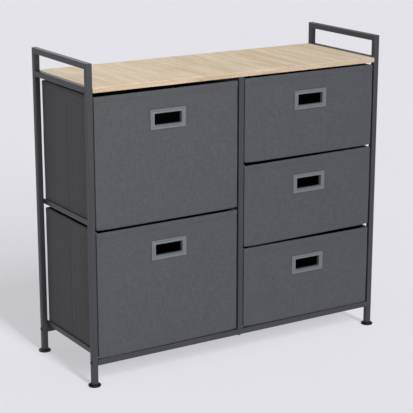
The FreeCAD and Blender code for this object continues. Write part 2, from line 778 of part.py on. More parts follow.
os.makedirs("parts", exist_ok=True)
for body in subparts:
    body.Shape.exportStep(f"parts/{body.Label}.step")
print(f"{len(subparts)} sub-parts written")
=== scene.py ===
import math

import bpy
from mathutils import Matrix, Vector, noise


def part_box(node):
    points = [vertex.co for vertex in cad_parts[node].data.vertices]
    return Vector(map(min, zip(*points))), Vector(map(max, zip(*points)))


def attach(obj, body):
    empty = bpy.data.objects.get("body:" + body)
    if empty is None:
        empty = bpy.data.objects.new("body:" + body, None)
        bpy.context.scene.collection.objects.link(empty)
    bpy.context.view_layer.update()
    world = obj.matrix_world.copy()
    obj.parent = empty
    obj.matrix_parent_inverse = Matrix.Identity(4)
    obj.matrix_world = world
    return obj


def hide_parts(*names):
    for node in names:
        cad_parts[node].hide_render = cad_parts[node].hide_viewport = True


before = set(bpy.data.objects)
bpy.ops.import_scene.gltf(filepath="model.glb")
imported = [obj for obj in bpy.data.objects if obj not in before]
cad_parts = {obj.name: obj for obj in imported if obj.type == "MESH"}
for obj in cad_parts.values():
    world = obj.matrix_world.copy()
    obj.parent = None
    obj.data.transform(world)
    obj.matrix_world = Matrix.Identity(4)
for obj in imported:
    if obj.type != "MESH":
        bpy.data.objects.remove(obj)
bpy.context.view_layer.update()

# ---------------------------------------------------------------------------------------------
# Frame: square steel tube, powder coated dark grey. Each side is a welded ladder, a handle bar
# mitred across two posts and a board rail butted between them. The bottom rails bolt between the
# two ladders and carry the centre posts.
# ---------------------------------------------------------------------------------------------

# Sizes below are in millimetres, and the frame is in metres.
MM = 0.001


def linear(hex_colour):
    """An sRGB hex colour as linear red, green, blue and alpha."""
    channels = [int(hex_colour[start:start + 2], 16) / 255 for start in (1, 3, 5)]
    return [c / 12.92 if c <= 0.04045 else ((c + 0.055) / 1.055) ** 2.4 for c in channels] + [1.0]


def add(tree, kind, inputs=None, **settings):
    """A shader node. Its inputs are values, nodes or their sockets, by socket name or number.

    A node stands for the first of its outputs that is in use.
    """
    made = tree.nodes.new("ShaderNode" + kind)
    for name, value in settings.items():
        setattr(made, name, value)
    for socket, value in (inputs or {}).items():
        if isinstance(value, bpy.types.Node):
            value = next(output for output in value.outputs if output.enabled)
        if isinstance(value, bpy.types.NodeSocket):
            tree.links.new(value, made.inputs[socket])
        else:
            made.inputs[socket].default_value = value
    return made


def new_material(name):
    """A material, its node tree, and the socket there that gives the place on the piece."""
    made = bpy.data.materials.new(name)
    made.use_nodes = True
    tree = made.node_tree
    tree.nodes.clear()
    return made, tree, add(tree, "TexCoord").outputs["Object"]


def dress(names, finish):
    """Gives CAD pieces a finish in place of their plain one."""
    for name in names:
        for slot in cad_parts[name].material_slots:
            slot.material = finish


# Polyester powder coat, sprayed dry and baked: satin, with the fine dimples of orange peel and a
# faint unevenness of thickness that shows as slow changes of tone and gloss.
COAT_DIMPLE = 2.2 * MM
DIMPLE_DEPTH = 0.12 * MM
COAT_CLOUD = 90 * MM
powder_coat, tree, place = new_material("powder_coated_steel")
dimples = add(tree, "TexNoise", {"Vector": place, "Scale": 1 / COAT_DIMPLE, "Detail": 2.0})
cloud = add(tree, "TexNoise", {"Vector": place, "Scale": 1 / COAT_CLOUD, "Detail": 3.0})
peel = add(tree, "Bump", {"Height": dimples, "Strength": 0.35, "Distance": DIMPLE_DEPTH})
gloss = add(tree, "MapRange", {"Value": cloud, "To Min": 0.36, "To Max": 0.5})
coat = add(tree, "Mix", {0: cloud, 6: linear("#292A2E"), 7: linear("#303135")}, data_type="RGBA")
shader = add(tree, "BsdfPrincipled", {
    "Base Color": coat,
    "Roughness": gloss,
    "Normal": peel,
    "IOR": 1.5,
    "Specular IOR Level": 0.4,
})
add(tree, "OutputMaterial", {"Surface": shader})

dress([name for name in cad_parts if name.endswith(("_post", "_bar", "_rail"))], powder_coat)

# ---------------------------------------------------------------------------------------------
# Runners and tabs: strip steel, the runners folded to an angle and the tabs left flat, welded
# inside the posts and board rails before coating. The drawers slide on the runners' flanges and
# burnish the coat there in long streaks.
# ---------------------------------------------------------------------------------------------

# The same coat burnished by sliding: glossier and a shade paler, in streaks along the flange.
RUB_LENGTH = 120 * MM
RUB_WIDTH = 1.6 * MM
rubbed_coat, tree, place = new_material("powder_coat_rubbed_by_sliding")
stretched = add(tree, "VectorMath", {0: place, 1: (1 / RUB_WIDTH, 1 / RUB_LENGTH, 1 / RUB_WIDTH)},
                operation="MULTIPLY")
streaks = add(tree, "TexNoise", {"Vector": stretched, "Scale": 1.0, "Detail": 2.0})
dimples = add(tree, "TexNoise", {"Vector": place, "Scale": 1 / COAT_DIMPLE, "Detail": 2.0})
upward = add(tree, "SeparateXYZ", {0: place.node.outputs["Normal"]})
flange = add(tree, "MapRange", {"Value": upward.outputs["Z"], "From Min": 0.9, "From Max": 1.0})
worn = add(tree, "MapRange", {"Value": streaks, "From Min": 0.5, "From Max": 0.7})
rub = add(tree, "Math", {0: flange, 1: worn}, operation="MULTIPLY")
gloss = add(tree, "MapRange", {"Value": rub, "To Min": 0.44, "To Max": 0.25})
peel = add(tree, "Bump", {"Height": dimples, "Strength": 0.3, "Distance": DIMPLE_DEPTH})
coat = add(tree, "Mix", {0: rub, 6: linear("#2E2F33"), 7: linear("#4C4D52")}, data_type="RGBA")
shader = add(tree, "BsdfPrincipled", {
    "Base Color": coat,
    "Roughness": gloss,
    "Normal": peel,
    "IOR": 1.5,
})
add(tree, "OutputMaterial", {"Surface": shader})

dress([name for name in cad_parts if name.endswith("_runners")], rubbed_coat)
dress(["board_tabs"], powder_coat)

# ---------------------------------------------------------------------------------------------
# Tube plugs: square blocks moulded in black polyamide and driven into the tube ends. Each holds
# the thread that a rail bolt or a levelling foot screws into.
# ---------------------------------------------------------------------------------------------

# Polyamide: near black, satin, stippled by its mould, and cloudy where the melt flowed.
MOULD_GRAIN = 0.6 * MM
MOULD_DEPTH = 0.05 * MM
MELT_FLOW = 14 * MM
black_polyamide, tree, place = new_material("moulded_black_polyamide")
grain = add(tree, "TexNoise", {"Vector": place, "Scale": 1 / MOULD_GRAIN, "Detail": 2.0})
flow = add(tree, "TexNoise", {"Vector": place, "Scale": 1 / MELT_FLOW, "Detail": 2.0})
stipple = add(tree, "Bump", {"Height": grain, "Strength": 0.25, "Distance": MOULD_DEPTH})
gloss = add(tree, "MapRange", {"Value": flow, "To Min": 0.34, "To Max": 0.5})
resin = add(tree, "Mix", {0: flow, 6: linear("#09090A"), 7: linear("#101011")}, data_type="RGBA")
shader = add(tree, "BsdfPrincipled", {
    "Base Color": resin,
    "Roughness": gloss,
    "Normal": stipple,
    "IOR": 1.53,
    "Specular IOR Level": 0.25,
})
add(tree, "OutputMaterial", {"Surface": shader})

dress(["tube_plugs"], black_polyamide)

# ---------------------------------------------------------------------------------------------
# Bolts and screws: carbon steel, cold headed and blackened in hot oxide. Four button head bolts
# with hexagon sockets pass through the posts near their feet into the ends of the bottom rails.
# ---------------------------------------------------------------------------------------------

# Black oxide: a thin dark conversion layer that leaves the metal's own sheen, a little mottled.
OXIDE_MOTTLE = 1.5 * MM
black_oxide, tree, place = new_material("black_oxide_steel")
mottle = add(tree, "TexNoise", {"Vector": place, "Scale": 1 / OXIDE_MOTTLE, "Detail": 3.0})
gloss = add(tree, "MapRange", {"Value": mottle, "To Min": 0.28, "To Max": 0.46})
oxide = add(tree, "Mix", {0: mottle, 6: linear("#2C2C2E"), 7: linear("#4A4A4C")}, data_type="RGBA")
shader = add(tree, "BsdfPrincipled", {
    "Base Color": oxide,
    "Metallic": 0.85,
    "Roughness": gloss,
})
add(tree, "OutputMaterial", {"Surface": shader})


def circle_ring(radius, height, count):
    """Points round the Z axis at that height, anticlockwise seen from above."""
    turns = [2 * math.pi * number / count for number in range(count)]
    return [Vector((radius * math.cos(turn), radius * math.sin(turn), height)) for turn in turns]


def hexagon_ring(flat, height, count):
    """Points round a hexagon of that width across flats, one per equal turn."""
    points = circle_ring(1.0, height, count)
    for number, point in enumerate(points):
        off_flat = (2 * math.pi * number / count) % (math.pi / 3) - math.pi / 6
        reach = flat / 2 / math.cos(off_flat)
        point.x *= reach
        point.y *= reach
    return points


def loft(rings, close_start=False, close_end=False, loop=False):
    """Points and faces of a skin over rings with one number of points each.

    Each ring runs anticlockwise seen from the next one, and the skin then faces outward.
    """
    count = len(rings[0])
    points = [point for ring in rings for point in ring]
    spans = [(number, number + 1) for number in range(len(rings) - 1)]
    if loop:
        spans.append((len(rings) - 1, 0))
    faces = []
    for low, high in spans:
        for this in range(count):
            after = (this + 1) % count
            faces.append((low * count + this, low * count + after,
                          high * count + after, high * count + this))
    if close_start:
        faces.append(tuple(reversed(range(count))))
    if close_end:
        faces.append(tuple(range((len(rings) - 1) * count, len(rings) * count)))
    return points, faces


def joined(parts):
    """Several (points, faces) as one."""
    points, faces = [], []
    for more_points, more_faces in parts:
        start = len(points)
        points += more_points
        faces += [tuple(start + corner for corner in face) for face in more_faces]
    return points, faces


def piece(name, skin, finish, body, replaced=(), smooth=True):
    """A mesh piece of (points, faces) that rides on a body and stands for the replaced nodes."""
    points, faces = skin
    mesh = bpy.data.meshes.new(name)
    mesh.from_pydata(points, [], faces)
    mesh.materials.append(finish)
    if smooth:
        mesh.shade_smooth()
    made = bpy.data.objects.new(name, mesh)
    bpy.context.scene.collection.objects.link(made)
    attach(made, body)
    if replaced:
        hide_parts(*replaced)
    return made


def modify(made, kind, **settings):
    """Adds a modifier with its settings."""
    modifier = made.modifiers.new(kind.title(), kind)
    for name, value in settings.items():
        setattr(modifier, name, value)


BOLT_SHANK_RADIUS = 3 * MM
BOLT_LENGTH = 29 * MM
SOCKET_FLATS = 4 * MM
SOCKET_DEPTH = 1.6 * MM
BOLT_ROUND = 0.4 * MM
BOLT_POINTS = 36
HEAD_RIM_SHARE = 0.25
DOME_FULLNESS = 0.6
DOME_RISES = [math.radians(degrees) for degrees in (0, 12, 24, 36, 48, 60)]


def button_bolt(head_radius, head_height):
    """A bolt along Z, its head's underside at 0 and its domed top up, with a hexagon socket."""
    rim_height = HEAD_RIM_SHARE * head_height
    dome = [
        circle_ring(head_radius * math.cos(rise) ** DOME_FULLNESS,
                    rim_height + (head_height - rim_height) * math.sin(rise), BOLT_POINTS)
        for rise in DOME_RISES
    ]
    rings = [
        circle_ring(BOLT_SHANK_RADIUS - BOLT_ROUND, -BOLT_LENGTH, BOLT_POINTS),
        circle_ring(BOLT_SHANK_RADIUS, -BOLT_LENGTH + BOLT_ROUND, BOLT_POINTS),
        circle_ring(BOLT_SHANK_RADIUS, 0, BOLT_POINTS),
        circle_ring(head_radius - BOLT_ROUND, 0, BOLT_POINTS),
        *dome,
        hexagon_ring(SOCKET_FLATS + BOLT_ROUND, head_height, BOLT_POINTS),
        hexagon_ring(SOCKET_FLATS, head_height - BOLT_ROUND, BOLT_POINTS),
        hexagon_ring(SOCKET_FLATS, head_height - SOCKET_DEPTH, BOLT_POINTS),
    ]
    return loft(rings, close_start=True, close_end=True)


def set_at(skin, where, turn=Matrix()):
    """The (points, faces) turned and then moved to a place."""
    points, faces = skin
    return [turn @ point + where for point in points], faces


bolt_low, bolt_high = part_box("rail_bolts")
bolts = []
for side, sign in (("left", -1), ("right", 1)):
    for end in ("front", "rear"):
        post_low, post_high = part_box(f"{side}_{end}_post")
        head_radius = (bolt_high.z - bolt_low.z) / 2
        head_height = bolt_high.x - post_high.x if sign > 0 else post_low.x - bolt_low.x
        where = Vector((
            post_high.x if sign > 0 else post_low.x,
            (post_low.y + post_high.y) / 2,
            (bolt_low.z + bolt_high.z) / 2,
        ))
        turn = Matrix.Rotation(sign * math.pi / 2, 3, "Y")
        bolts.append(set_at(button_bolt(head_radius, head_height), where, turn))
rail_bolts = piece("button_head_bolts", joined(bolts), black_oxide, "frame",
                   ["rail_bolts"])
modify(rail_bolts, "WEIGHTED_NORMAL", keep_sharp=True)
dress(["centre_post_bolts", "board_screws"], black_oxide)

# ---------------------------------------------------------------------------------------------
# Top board: particle board pressed to 12 mm, its faces laid with oak decor paper set in melamine
# and its long edges closed with a band of the same decor. The grain runs from front to back, and
# screws through the tabs hold the board from below.
# ---------------------------------------------------------------------------------------------

# Matt melamine: the print carries growth bands, fibres and short pores, and the pores are
# pressed a little into the resin.
BAND_WIDTH = 26 * MM
BAND_LENGTH = 9 * BAND_WIDTH
FIBRE_WIDTH = 2.6 * MM
FIBRE_LENGTH = 70 * MM
FIBRE_SHARE = 0.7
PORE_WIDTH = 1.2 * MM
PORE_LENGTH = 14 * MM
PORE_SHARE = 0.6
PORE_DEPTH = 0.05 * MM
FACE_TONES = ("#C1AC8D", "#D5C6AE", "#C2AD8B", "#937A56")
# The edges take the same print in darker tones. This is painted shade, since the band is the same
# decor as the faces.
SHADED_EDGE_TONES = ("#9C8A72", "#B4A48B", "#9A866C", "#5A4633")


def oak_print(tree, place, across, along, tones):
    """Colour and height of the oak print, its width along one axis and its grain along another.

    The tones are those of late wood, early wood, fibres and pores.
    """
    found = []
    for width, length, detail, warp, start, full in (
            (BAND_WIDTH, BAND_LENGTH, 4.0, 0.6, 0.36, 0.62),
            (FIBRE_WIDTH, FIBRE_LENGTH, 3.0, 0.0, 0.3, 0.75),
            (PORE_WIDTH, PORE_LENGTH, 1.0, 0.0, 0.62, 0.72)):
        scale = [1.0, 1.0, 1.0]
        scale[across] = 1 / width
        scale[along] = 1 / length
        stretched = add(tree, "VectorMath", {0: place, 1: scale}, operation="MULTIPLY")
        marks = add(tree, "TexNoise", {"Vector": stretched, "Scale": 1.0, "Detail": detail,
                                       "Distortion": warp})
        found.append(add(tree, "MapRange", {"Value": marks, "From Min": start, "From Max": full}))
    band, fibre, pore = found
    late, early, fibre_tone, pore_tone = [linear(tone) for tone in tones]
    wood = add(tree, "Mix", {0: band, 6: late, 7: early}, data_type="RGBA")
    for mark, share, tone in ((fibre, FIBRE_SHARE, fibre_tone), (pore, PORE_SHARE, pore_tone)):
        faded = add(tree, "Math", {0: mark, 1: share}, operation="MULTIPLY")
        wood = add(tree, "Mix", {0: faded, 6: wood, 7: tone}, data_type="RGBA")
    sunk = add(tree, "Math", {0: 1.0, 1: pore}, operation="SUBTRACT")
    return wood, sunk


oak_decor, tree, place = new_material("oak_decor_melamine_board")
facing = add(tree, "SeparateXYZ", {0: place.node.outputs["Normal"]})
level = add(tree, "Math", {0: facing.outputs["Z"]}, operation="ABSOLUTE")
on_face = add(tree, "MapRange", {"Value": level, "From Min": 0.6, "From Max": 0.75})
face_wood, face_sunk = oak_print(tree, place, 0, 1, FACE_TONES)
# The edges get the darker copy of the print, as painted shade.
shaded_edge_wood, edge_sunk = oak_print(tree, place, 2, 0, SHADED_EDGE_TONES)
wood = add(tree, "Mix", {0: on_face, 6: shaded_edge_wood, 7: face_wood}, data_type="RGBA")
sunk = add(tree, "Mix", {0: on_face, 2: edge_sunk, 3: face_sunk}, data_type="FLOAT")
pressed = add(tree, "Bump", {"Height": sunk, "Strength": 0.3, "Distance": PORE_DEPTH})
shader = add(tree, "BsdfPrincipled", {
    "Base Color": wood,
    "Roughness": 0.7,
    "Normal": pressed,
    "IOR": 1.48,
    "Specular IOR Level": 0.15,
})
add(tree, "OutputMaterial", {"Surface": shader})

dress(["top_board"], oak_decor)

# ---------------------------------------------------------------------------------------------
# Levelling feet: a round base of black polyamide moulded over the head of an M6 stud. The stud
# screws into the plug in the leg, and turning the base raises or lowers that corner.
# ---------------------------------------------------------------------------------------------

FOOT_POINTS = 64
THREAD_PITCH = 1.0 * MM
THREAD_DEPTH = 0.35 * MM
THREAD_STEPS = 6

# From the hollow underside round the rim and up a low step to the stud, in shares of the base's
# radius and height.
BASE_PROFILE = (
    (0.30, 0.20), (0.62, 0.20), (0.66, 0.02), (0.70, 0.0), (0.93, 0.0), (0.98, 0.06),
    (1.00, 0.18), (1.00, 0.58), (0.985, 0.70), (0.94, 0.78), (0.80, 0.80), (0.76, 0.86),
    (0.73, 0.97), (0.68, 1.0), (0.30, 1.0),
)


def threaded_ring(radius, height, count):
    """Points round the stud, the crest of the thread passing them as the height changes."""
    points = circle_ring(1.0, height, count)
    for number, point in enumerate(points):
        phase = (height / THREAD_PITCH - number / count) % 1.0
        reach = radius - THREAD_DEPTH * abs(2 * phase - 1)
        point.x *= reach
        point.y *= reach
    return points


def foot_base(radius, height):
    """The moulded base, from the floor up."""
    rings = [circle_ring(across * radius, up * height, FOOT_POINTS) for across, up in BASE_PROFILE]
    return loft(rings, close_start=True, close_end=True)


def threaded_stud(radius, low, high):
    """The M6 stud, its end chamfered."""
    count = FOOT_POINTS // 2
    steps = round((high - low) / THREAD_PITCH * THREAD_STEPS)
    heights = [low + (high - low) * step / steps for step in range(steps + 1)]
    rings = [threaded_ring(radius, height, count) for height in heights[:-THREAD_STEPS // 2]]
    rings.append(circle_ring(radius - 2 * THREAD_DEPTH, high, count))
    return loft(rings, close_start=True, close_end=True)


for side in ("left", "right"):
    for end in ("front", "rear"):
        node = f"{side}_{end}_foot"
        foot_low, foot_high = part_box(node)
        post_low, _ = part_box(f"{side}_{end}_post")
        middle = (foot_low + foot_high) / 2
        where = Vector((middle.x, middle.y, foot_low.z))
        base = foot_base((foot_high.x - foot_low.x) / 2, post_low.z - foot_low.z)
        stud = threaded_stud(BOLT_SHANK_RADIUS, post_low.z - foot_low.z - THREAD_PITCH,
                             foot_high.z - foot_low.z)
        made = piece(f"{node}_base", set_at(base, where), black_polyamide, node,
                     [node])
        modify(made, "WEIGHTED_NORMAL", keep_sharp=True)
        piece(f"{node}_stud", set_at(stud, where), black_oxide, node, [node])

# ---------------------------------------------------------------------------------------------
# Drawer boards: 3 mm hardboard, slid into the pocket of each front and loose on each floor, and
# 2 mm grey pasteboard sewn into the sides and back. Each side board is in two halves, so that
# the drawer folds flat.
# ---------------------------------------------------------------------------------------------

# Hardboard: wood fibre pressed hot, brown and matt, with loose fibres in its tone.
HARDBOARD_FIBRE = 1.8 * MM
FIBRE_RELIEF = 0.08 * MM
hardboard, tree, place = new_material("hardboard")
fibres = add(tree, "TexNoise", {"Vector": place, "Scale": 1 / HARDBOARD_FIBRE, "Detail": 4.0})
press = add(tree, "Bump", {"Height": fibres, "Strength": 0.3, "Distance": FIBRE_RELIEF})
pulp = add(tree, "Mix", {0: fibres, 6: linear("#5B4331"), 7: linear("#7B6049")}, data_type="RGBA")
shader = add(tree, "BsdfPrincipled", {
    "Base Color": pulp,
    "Roughness": 0.72,
    "Normal": press,
})
add(tree, "OutputMaterial", {"Surface": shader})

# Pasteboard: layers of grey recycled paper, matt, flecked with darker scraps.
PAPER_FLECK = 1.2 * MM
pasteboard, tree, place = new_material("grey_pasteboard")
flecks = add(tree, "TexNoise", {"Vector": place, "Scale": 1 / PAPER_FLECK, "Detail": 3.0})
fleck = add(tree, "MapRange", {"Value": flecks, "From Min": 0.55, "From Max": 0.7})
paper = add(tree, "Mix", {0: fleck, 6: linear("#8B8780"), 7: linear("#6F6B65")}, data_type="RGBA")
shader = add(tree, "BsdfPrincipled", {
    "Base Color": paper,
    "Roughness": 0.9,
})
add(tree, "OutputMaterial", {"Surface": shader})


def ease(value):
    """0 up to 0, 1 from 1 on, and smooth between."""
    share = min(1.0, max(0.0, value))
    return share * share * (3 - 2 * share)


# The front's way of lying passes to the sides' way between these directions round a corner.
SIDE_ENDS = 3 / 14
FRONT_STARTS = 13 / 14


def of_front(outward):
    """1 on the front, 0 on the sides and back, and between round the front's corners."""
    return ease((-outward.y - SIDE_ENDS) / (FRONT_STARTS - SIDE_ENDS))


# How each front is set in its bay: its right end above its left, its rim and its foot above the
# heights they are drawn at. The boards of a sewn drawer never sit quite square.
FRONT_SET = {
    "left_upper": (2.2 * MM, 1.6 * MM, -1.2 * MM),
    "left_lower": (1.8 * MM, -2.3 * MM, 0.0),
    "right_upper": (0.4 * MM, 0.8 * MM, -0.2 * MM),
    "right_middle": (3.8 * MM, -1.5 * MM, -0.3 * MM),
    "right_lower": (-2.1 * MM, -2.1 * MM, 0.0),
}
FRONT_WALL = 4.8 * MM
SLOT_WIDTH = 77 * MM
SLOT_HEIGHT = 29 * MM
COLLAR_WALL = 1.5 * MM
CUTOUT_CLEARANCE = 0.3 * MM
SEED_STEP = 3.7


class Drawer:
    """The places of one drawer's boards, read from its solids, and the way its front is set."""

    def __init__(self, number, name):
        self.name = name
        self.body = f"{name}_drawer"
        self.low, self.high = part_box(f"{name}_cover")
        self.lining_low, self.lining_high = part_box(f"{name}_lining")
        self.pull_low, self.pull_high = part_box(f"{name}_finger_pull")
        self.walls_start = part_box(f"{name}_wall_boards")[0].y
        self.middle = (self.low + self.high) / 2
        self.fold = (self.lining_low.y + self.lining_high.y) / 2
        self.tilt, self.rim_lift, self.foot_lift = FRONT_SET[name]
        self.seed = Vector((0, 0, SEED_STEP * number))

    def across(self, x):
        """-1 at the left edge, 1 at the right edge."""
        return (x - self.middle.x) / (self.high.x - self.middle.x)

    def rise(self, place, outward, z):
        """How far up the set of the front moves the fabric there. It ends where the walls start."""
        slope = self.tilt / 2 * self.across(place.x)
        foot = (self.foot_lift + slope) * of_front(outward)
        share = min(1.0, max(0.0, (z - self.low.z) / (self.high.z - self.low.z)))
        behind = place.y - self.low.y - FRONT_WALL
        fade = 1 - ease(behind / (self.walls_start - self.low.y - FRONT_WALL))
        return fade * (foot + (self.rim_lift + slope - foot) * share)

    def hole(self):
        """The opening for the finger pull's collar: left, right, bottom and top."""
        centre = (self.pull_low + self.pull_high) / 2
        wide = SLOT_WIDTH / 2 + COLLAR_WALL + CUTOUT_CLEARANCE
        high = SLOT_HEIGHT / 2 + COLLAR_WALL + CUTOUT_CLEARANCE
        return centre.x - wide, centre.x + wide, centre.z - high, centre.z + high


DRAWERS = [Drawer(number, name) for number, name in enumerate(sorted(FRONT_SET))]

BOARD_CORNER = 10 * MM
CUTOUT_CORNER = 1 * MM
ROUND_STEPS = 5


def rounded_ring(centre, half_width, half_height, radius, y):
    """Points round an upright rounded rectangle at y, anticlockwise seen from the front."""
    ring = []
    for quarter in range(4):
        x_sign = (1, 1, -1, -1)[quarter]
        z_sign = (-1, 1, 1, -1)[quarter]
        pivot = Vector((centre.x + x_sign * (half_width - radius), y,
                        centre.z + z_sign * (half_height - radius)))
        for step in range(ROUND_STEPS + 1):
            turn = (quarter + step / ROUND_STEPS) * math.pi / 2
            ring.append(pivot + radius * Vector((math.sin(turn), 0, -math.cos(turn))))
    return ring


def front_board_skin(drawer):
    """A front board, set with its front, as one closed skin round its slot."""
    board_low, board_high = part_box(f"{drawer.name}_front_board")
    left, right, bottom, top = drawer.hole()
    outer = (board_low + board_high) / 2
    inner = Vector(((left + right) / 2, 0, (bottom + top) / 2))
    reach = (board_high - board_low) / 2
    rings = []
    for y in (board_high.y, board_low.y):
        ring = rounded_ring(outer, reach.x, reach.z, BOARD_CORNER, y)
        for point in ring:
            point.z += drawer.rise(point, Vector((0, -1)), point.z)
        rings.append(ring)
    for y in (board_low.y, board_high.y):
        rings.append(rounded_ring(inner, (right - left) / 2, (top - bottom) / 2, CUTOUT_CORNER, y))
    return loft(rings, loop=True)


for drawer in DRAWERS:
    piece(f"{drawer.name}_hardboard_front", front_board_skin(drawer), hardboard, drawer.body,
          [f"{drawer.name}_front_board"], smooth=False)
dress([f"{drawer.name}_base_board" for drawer in DRAWERS], hardboard)
dress([f"{drawer.name}_wall_boards" for drawer in DRAWERS], pasteboard)

# ---------------------------------------------------------------------------------------------
# Drawer covers: dark grey woven polyester sewn into a box. The front is a pocket for its board,
# its lower edge hanging over the runners' ends, and the rim is turned in and stitched down. The
# fabric lies taut on the boards, and gives at the fold of the sides and along the seams.
# ---------------------------------------------------------------------------------------------

# Woven polyester: matt, faintly crossed by its thicker threads, the slubs. The real threads are
# about 0.5 mm apart; they are drawn 1.5 mm apart, because finer ones wouldn't show.
THREAD_GAP = 1.5 * MM
SLUB_WIDTH = 1.7 * MM
SLUB_LENGTH = 16 * MM
SLUB_RISE = 1.4
WEAVE_DEPTH = 0.08 * MM
FABRIC_CLOUD = 70 * MM


def crossed_rows(tree, place, gap, wave):
    """The sum of waves with that gap along the axes that lie in a panel, whichever way it faces."""
    facing = place.node.outputs["Normal"]
    squared = add(tree, "VectorMath", {0: facing, 1: facing}, operation="MULTIPLY")
    in_plane = add(tree, "VectorMath", {0: (1.0, 1.0, 1.0), 1: squared}, operation="SUBTRACT")
    turns = add(tree, "VectorMath", {0: place, "Scale": 2 * math.pi / gap}, operation="SCALE")
    rows = add(tree, "VectorMath", {0: turns}, operation=wave)
    return add(tree, "VectorMath", {0: rows, 1: in_plane}, operation="DOT_PRODUCT")


woven_polyester, tree, place = new_material("woven_polyester")
weave = crossed_rows(tree, place, THREAD_GAP, "SINE")
level_scale = (1 / SLUB_LENGTH, 1 / SLUB_LENGTH, 1 / SLUB_WIDTH)
upright_scale = (1 / SLUB_WIDTH, 1 / SLUB_WIDTH, 1 / SLUB_LENGTH)
level_place = add(tree, "VectorMath", {0: place, 1: level_scale}, operation="MULTIPLY")
upright_place = add(tree, "VectorMath", {0: place, 1: upright_scale}, operation="MULTIPLY")
weft = add(tree, "TexNoise", {"Vector": level_place, "Scale": 1.0, "Detail": 2.0})
warp = add(tree, "TexNoise", {"Vector": upright_place, "Scale": 1.0, "Detail": 2.0})
cloud = add(tree, "TexNoise", {"Vector": place, "Scale": 1 / FABRIC_CLOUD, "Detail": 2.0})
slubs = add(tree, "Math", {0: weft, 1: warp}, operation="ADD")
tone = add(tree, "MapRange", {"Value": slubs, "From Min": 0.7, "From Max": 1.3})
yarn = add(tree, "Mix", {0: tone, 6: linear("#363739"), 7: linear("#434446")}, data_type="RGBA")
cloud_tone = add(tree, "MapRange", {"Value": cloud, "From Min": 0.3, "From Max": 0.7,
                                    "To Min": 0.0, "To Max": 0.25})
yarn = add(tree, "Mix", {0: cloud_tone, 6: yarn, 7: linear("#373839")}, data_type="RGBA")
height = add(tree, "Math", {0: slubs, 1: SLUB_RISE, 2: weave}, operation="MULTIPLY_ADD")
cloth = add(tree, "Bump", {"Height": height, "Strength": 0.5, "Distance": WEAVE_DEPTH})
shader = add(tree, "BsdfPrincipled", {
    "Base Color": yarn,
    "Roughness": 0.85,
    "Normal": cloth,
    "Specular IOR Level": 0.35,
    "Sheen Weight": 0.08,
    "Sheen Roughness": 0.5,
})
add(tree, "OutputMaterial", {"Surface": shader})

COVER_THICKNESS = 1 * MM
SIDE_WALL = 3.8 * MM
SKIN_GAP = 0.05 * MM
CELL = 11 * MM
CORNER_RADIUS = 1.3 * MM
CORNER_STEPS = 4

# The rim is turned in over a round edge, and its hem stands out a little down to a step.
HEM_HEIGHT = 12 * MM
HEM_STAND = 0.5 * MM
HEM_STEP = 1.2 * MM
RIM_RADIUS = 1.4 * MM
RIM_TURNS = [math.radians(degrees) for degrees in (30, 60, 90)]
FLAP_LAP = 1.2 * MM
FLAP_RINGS = ((0.0, 0.0), (0.0, -0.5), (0.0, -1.0))

# The front and the sides crown between their edges, most where nothing holds them.
FRONT_CROWN = 1.3 * MM
SIDE_CROWN = 0.7 * MM
CROWN_POWER = 4
SIDE_POWER = 2
FLAT_FRONT = 0.9
PULL_HOLD = 35 * MM
BACK_STAND = 0.9 * MM
BACK_LAP = 8 * MM

# Ripples run over the whole cover, finer ones over them, and puckers along the hem's seam.
RIPPLE = 0.5 * MM
RIPPLE_LENGTH = 75 * MM
FINE_RIPPLE = 0.4
PUCKER = 0.22 * MM
PUCKER_LENGTH = 9 * MM
PUCKER_REACH = 7 * MM

# The sides crease where their boards part, and less at a second fold in front of that.
FOLD_WIDTH = 2.2 * MM
FOLD_GAP = 24 * MM
FOLD_DEPTHS = (0.9 * MM, 0.5 * MM)
FOLD_STOPS = (-2, -1, -0.5, 0, 0.5, 1, 2)

# The front's lower edge hangs straight, lifts near its corners, and is folded under the floor.
CORNER_LIFT = 2 * MM
CORNER_LIFT_POWER = 14
LOWER_EDGE_ROUND = 1.2 * MM
LOWER_EDGE_RINGS = ((1.0, 0.0), (0.7, 1.0), (0.15, 1.0))
FLOOR_SAG = 1.2 * MM
FLOOR_SAG_POWER = 6
FLOOR_SHARES = (0.2, 0.45, 0.7, 0.88, 0.97)


def marks(low, high, stops=()):
    """Places from low to high, every stop among them and none further apart than a cell."""
    found = [low]
    for stop in [*sorted(stops), high]:
        start = found[-1]
        count = max(1, math.ceil((stop - start) / CELL))
        found += [start + (stop - start) * part / count for part in range(1, count + 1)]
    return found


def plan(low, high, radius, front_stops, side_stops):
    """Places and outward directions round a box in plan, from the front's left end on.

    They run anticlockwise seen from above, with the upright corners rounded.
    """
    found = []
    fronts = marks(low.x + radius, high.x - radius, front_stops)
    sides = marks(low.y + radius, high.y - radius, side_stops)
    runs = [
        [(x, low.y) for x in fronts],
        [(high.x, y) for y in sides],
        [(x, high.y) for x in reversed(fronts)],
        [(low.x, y) for y in reversed(sides)],
    ]
    for number, run in enumerate(runs):
        heading = (number - 1) * math.pi / 2
        outward = Vector((round(math.cos(heading)), round(math.sin(heading))))
        found += [(Vector(place), outward) for place in run]
        pivot = Vector(run[-1]) - radius * outward
        for step in range(1, CORNER_STEPS):
            turn = heading + step / CORNER_STEPS * math.pi / 2
            outward = Vector((math.cos(turn), math.sin(turn)))
            found.append((pivot + radius * outward, outward))
    return found


def held(drawer, x, z):
    """0 at the finger pull, which clamps the fabric to its board, and 1 away from it."""
    pull = (drawer.pull_low + drawer.pull_high) / 2
    reach = (drawer.pull_high - drawer.pull_low) / 2
    away = max(abs(x - pull.x) - reach.x, abs(z - pull.z) - reach.z)
    return ease(away / PULL_HOLD)


